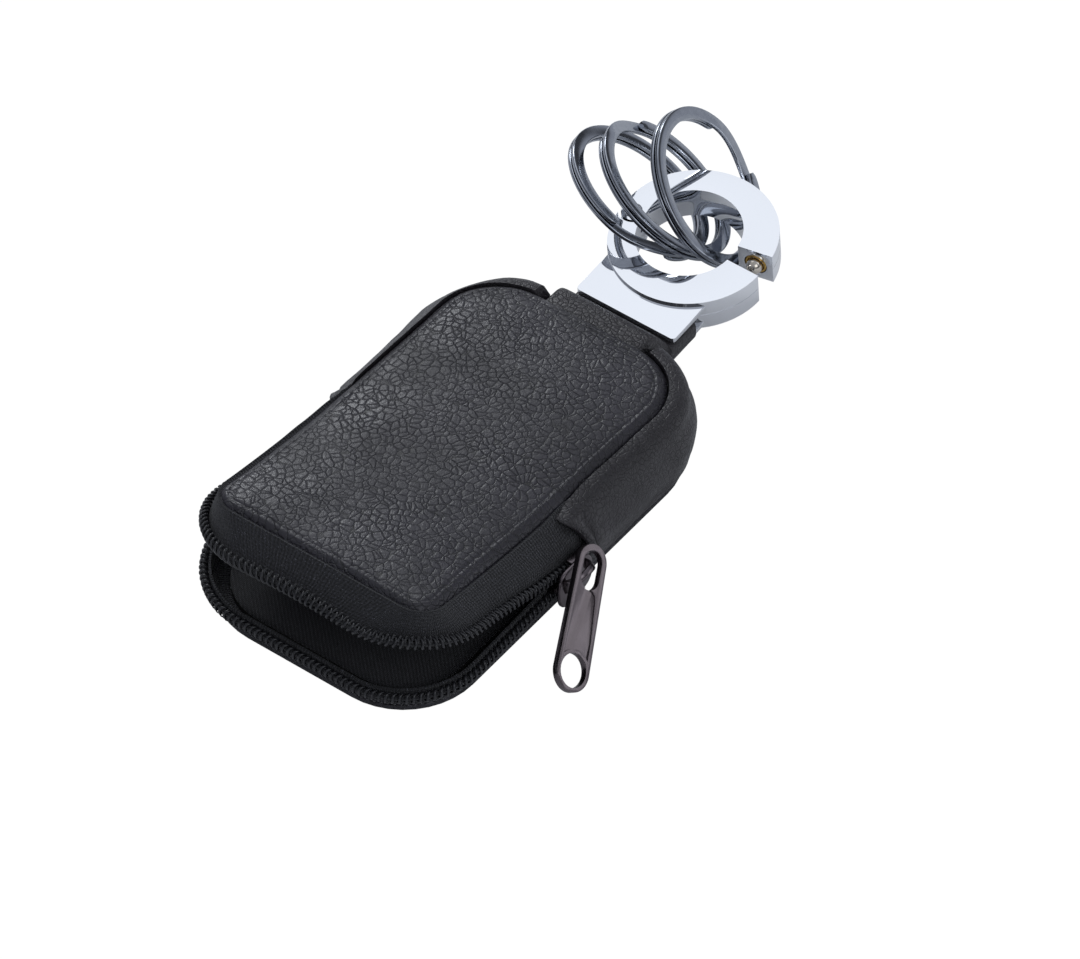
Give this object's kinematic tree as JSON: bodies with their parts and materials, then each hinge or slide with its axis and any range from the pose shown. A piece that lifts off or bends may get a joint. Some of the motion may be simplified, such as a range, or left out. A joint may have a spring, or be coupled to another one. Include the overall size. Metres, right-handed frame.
{
  "type": "key pouch",
  "caption": "Leather zip pouch for keys with a hanger strap, a swivel-gate clasp and split rings at its closed end, shown with the zip part open.",
  "frame": {"origin": "centre of the rear panel's underside", "axes": "+X towards the zip slider's side, +Y from the zip mouth towards the clasp, +Z from the rear panel up to the front panel"},
  "size_m": [0.0791, 0.1549, 0.0326],
  "materials": {
    "leather": "pebble grain",
    "foam": "soft foam",
    "board": "fibre board",
    "lining": "woven lining",
    "tape": "woven tape",
    "coil": "glossy nylon",
    "gunmetal": "dark plating",
    "chrome": "mirror polish",
    "steel": "nickelled",
    "nickel": "nickel plating",
    "brass": "plain"
  },
  "bodies": {
    "pouch": {"rear_panel": "leather", "rear_board": "board", "rear_lining": "lining", "front_panel": "leather", "front_foam": "foam", "front_lining": "lining", "side_wall": "leather", "wall_lining": "lining", "lower_zip_tape": "tape", "lower_coil": "coil"},
    "mouth": {"front_flap": "leather", "flap_foam": "foam", "flap_lining": "lining", "upper_zip_tape": "tape", "upper_coil": "coil"},
    "slider": {"slider_body": "gunmetal"},
    "pull": {"pull_tab": "gunmetal"},
    "clasp": {"strap": "leather", "clasp_body": "chrome", "gate_pin": "chrome", "strap_rivet_left": "chrome", "strap_rivet_right": "chrome"},
    "gate": {"gate": "chrome", "stud_collar": "brass", "ball_stud": "nickel"},
    "ring_right": {"split_ring_1": "steel"},
    "ring_middle": {"split_ring_2": "steel"},
    "ring_left": {"split_ring_3": "steel"}
  },
  "joints": [
    {"name": "zip_slide", "type": "slide", "parent": "pouch", "child": "slider", "axis": [0, -0.9987, -0.0505], "range_m": [0, 0.0215]},
    {"name": "mouth_hinge", "type": "hinge", "parent": "pouch", "child": "mouth", "pos_m": [0, -0.0065, 0.0183], "axis": [1, 0, 0], "range_deg": [0, 10.2], "deforming": ["upper_zip_tape", "upper_coil"]},
    {"name": "pull_swing", "type": "hinge", "parent": "slider", "child": "pull", "pos_m": [0.03541, -0.0042, 0.01268], "axis": [0.4279, 0.5946, -0.6807], "range_deg": [-20, 3]},
    {"name": "strap_hinge", "type": "hinge", "parent": "pouch", "child": "clasp", "pos_m": [0.0004, 0.048, 0.0155], "axis": [1, 0, 0], "range_deg": [-30, 75], "deforming": ["strap"]},
    {"name": "gate_hinge", "type": "hinge", "parent": "clasp", "child": "gate", "pos_m": [-0.01352, 0.0752, 0.01486], "axis": [0, -0.0941, 0.9956], "range_deg": [-9.6, 50]},
    {"name": "right_ring_swing", "type": "hinge", "parent": "gate", "child": "ring_right", "pos_m": [-0.0004, 0.0911, 0.0137], "axis": [0.7227, 0.3142, 0.6157], "range_deg": [-6, 10]},
    {"name": "middle_ring_swing", "type": "hinge", "parent": "gate", "child": "ring_middle", "pos_m": [-0.00895, 0.08803, 0.01341], "axis": [0.4951, 0.4304, 0.7547], "range_deg": [-15, 8]},
    {"name": "left_ring_swing", "type": "hinge", "parent": "gate", "child": "ring_left", "pos_m": [-0.01166, 0.08498, 0.01312], "axis": [0.4192, 0.412, 0.809], "range_deg": [-40, 12]}
  ],
  "couplings": [
    {"joint": "mouth_hinge", "follows": "zip_slide", "rad_per_m": 8.2}
  ]
}
